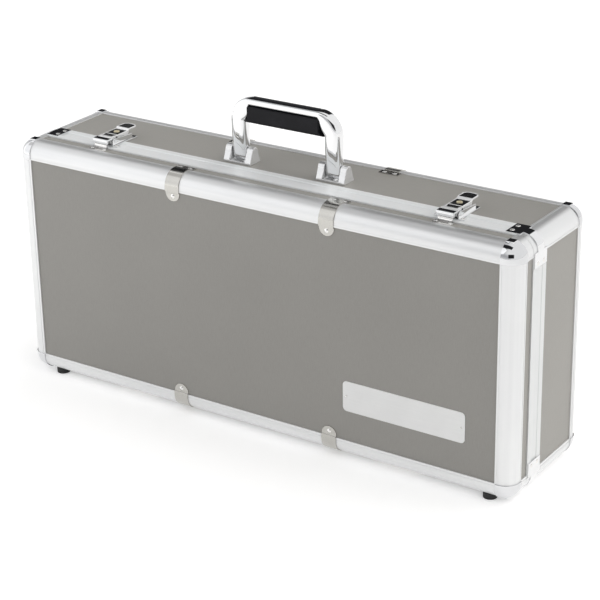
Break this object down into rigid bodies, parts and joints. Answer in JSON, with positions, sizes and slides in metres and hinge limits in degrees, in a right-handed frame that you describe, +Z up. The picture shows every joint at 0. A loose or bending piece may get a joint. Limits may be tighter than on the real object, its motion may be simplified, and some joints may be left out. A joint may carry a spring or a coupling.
{
  "type": "guitar pedal case",
  "caption": "Flat hard case with grey panels, aluminium edges, chrome ball corners, a hinged lid, key latches and a folding handle.",
  "frame": {"origin": "centre of the bounding box at the bottom of the feet, the case standing as it is carried", "axes": "+X along the case's length, +Y from the lid to the back, +Z up to the handle"},
  "size_m": [0.6638, 0.157, 0.3728],
  "materials": {
    "edge_aluminium": "satin anodised extrusion",
    "rim_aluminium": "satin anodised extrusion with ribs",
    "panel_laminate": "plywood with a grey brushed laminate face",
    "chrome": "polished",
    "nickel_steel": "bright nickel plate",
    "rivet_steel": "nickel plate",
    "foot_rubber": "matt",
    "lining_foam": "matt foam",
    "grip_plastic": "soft moulded grip",
    "insert_plastic": "gloss",
    "key_brass": "machined",
    "plate_metal": "satin white"
  },
  "bodies": {
    "base": {"back_edge_top": "edge_aluminium", "back_edge_bottom": "edge_aluminium", "back_edge_right": "edge_aluminium", "back_edge_left": "edge_aluminium", "base_corner_edges": "edge_aluminium", "rim_profile_top": "rim_aluminium", "rim_profile_bottom": "rim_aluminium", "rim_profile_right": "rim_aluminium", "rim_profile_left": "rim_aluminium", "base_back_panel": "panel_laminate", "base_top_panel": "panel_laminate", "base_bottom_panel": "panel_laminate", "base_right_panel": "panel_laminate", "base_left_panel": "panel_laminate", "back_corner_caps": "chrome", "back_edge_clips": "nickel_steel", "rim_corner_brackets": "nickel_steel", "base_rivets": "rivet_steel", "base_feet": "foot_rubber", "base_screws": "rivet_steel", "hinge_base_leaves": "nickel_steel", "hinge_pins": "nickel_steel", "handle_mount_right": "chrome", "handle_mount_left": "chrome", "handle_pins": "nickel_steel", "handle_backing_plates": "nickel_steel", "latch_pins": "chrome", "latch_plate_right": "chrome", "latch_plate_left": "chrome", "base_lining": "lining_foam"},
    "lid": {"front_edge_top": "edge_aluminium", "front_edge_bottom": "edge_aluminium", "front_edge_right": "edge_aluminium", "front_edge_left": "edge_aluminium", "lid_corner_edges": "edge_aluminium", "lid_front_panel": "panel_laminate", "lid_side_strips": "panel_laminate", "lid_rim_tongue": "rim_aluminium", "front_corner_caps": "chrome", "lid_edge_clips": "nickel_steel", "lid_rivets": "rivet_steel", "nameplate": "plate_metal", "nameplate_pins": "rivet_steel", "lid_feet": "foot_rubber", "lid_screws": "rivet_steel", "hinge_lid_leaves": "nickel_steel", "latch_keepers": "nickel_steel", "lid_lining": "lining_foam"},
    "handle": {"handle_frame": "chrome", "handle_grip": "grip_plastic", "handle_top_strip": "grip_plastic"},
    "right_lever": {"latch_lever_right": "chrome", "latch_inserts_right": "insert_plastic"},
    "right_bail": {"latch_bail_right": "chrome"},
    "right_key": {"latch_key_right": "key_brass"},
    "left_lever": {"latch_lever_left": "chrome", "latch_inserts_left": "insert_plastic"},
    "left_bail": {"latch_bail_left": "chrome"},
    "left_key": {"latch_key_left": "key_brass"}
  },
  "joints": [
    {"name": "lid_hinge", "type": "hinge", "parent": "base", "child": "lid", "pos_m": [0, -0.0443, 0.003], "axis": [1, 0, 0], "range_deg": [0, 110]},
    {"name": "handle_swing", "type": "hinge", "parent": "base", "child": "handle", "pos_m": [0, 0.0015, 0.3041], "axis": [1, 0, 0], "range_deg": [-85, 85]},
    {"name": "right_latch_lift", "type": "hinge", "parent": "base", "child": "right_lever", "pos_m": [0.228, -0.0338, 0.3021], "axis": [1, 0, 0], "range_deg": [0, 95]},
    {"name": "right_bail_swing", "type": "hinge", "parent": "right_lever", "child": "right_bail", "pos_m": [0.228, -0.0288, 0.305], "axis": [1, 0, 0], "range_deg": [-95, 0]},
    {"name": "right_key_turn", "type": "hinge", "parent": "right_lever", "child": "right_key", "pos_m": [0.228, -0.01595, 0.3067], "axis": [0, 0, 1], "range_deg": [0, 90]},
    {"name": "left_latch_lift", "type": "hinge", "parent": "base", "child": "left_lever", "pos_m": [-0.228, -0.0338, 0.3021], "axis": [1, 0, 0], "range_deg": [0, 95]},
    {"name": "left_bail_swing", "type": "hinge", "parent": "left_lever", "child": "left_bail", "pos_m": [-0.228, -0.0288, 0.305], "axis": [1, 0, 0], "range_deg": [-95, 0]},
    {"name": "left_key_turn", "type": "hinge", "parent": "left_lever", "child": "left_key", "pos_m": [-0.228, -0.01595, 0.3067], "axis": [0, 0, 1], "range_deg": [0, 90]}
  ],
  "couplings": [
    {"joint": "right_bail_swing", "follows": "right_latch_lift", "ratio": -1},
    {"joint": "left_bail_swing", "follows": "left_latch_lift", "ratio": -1}
  ]
}
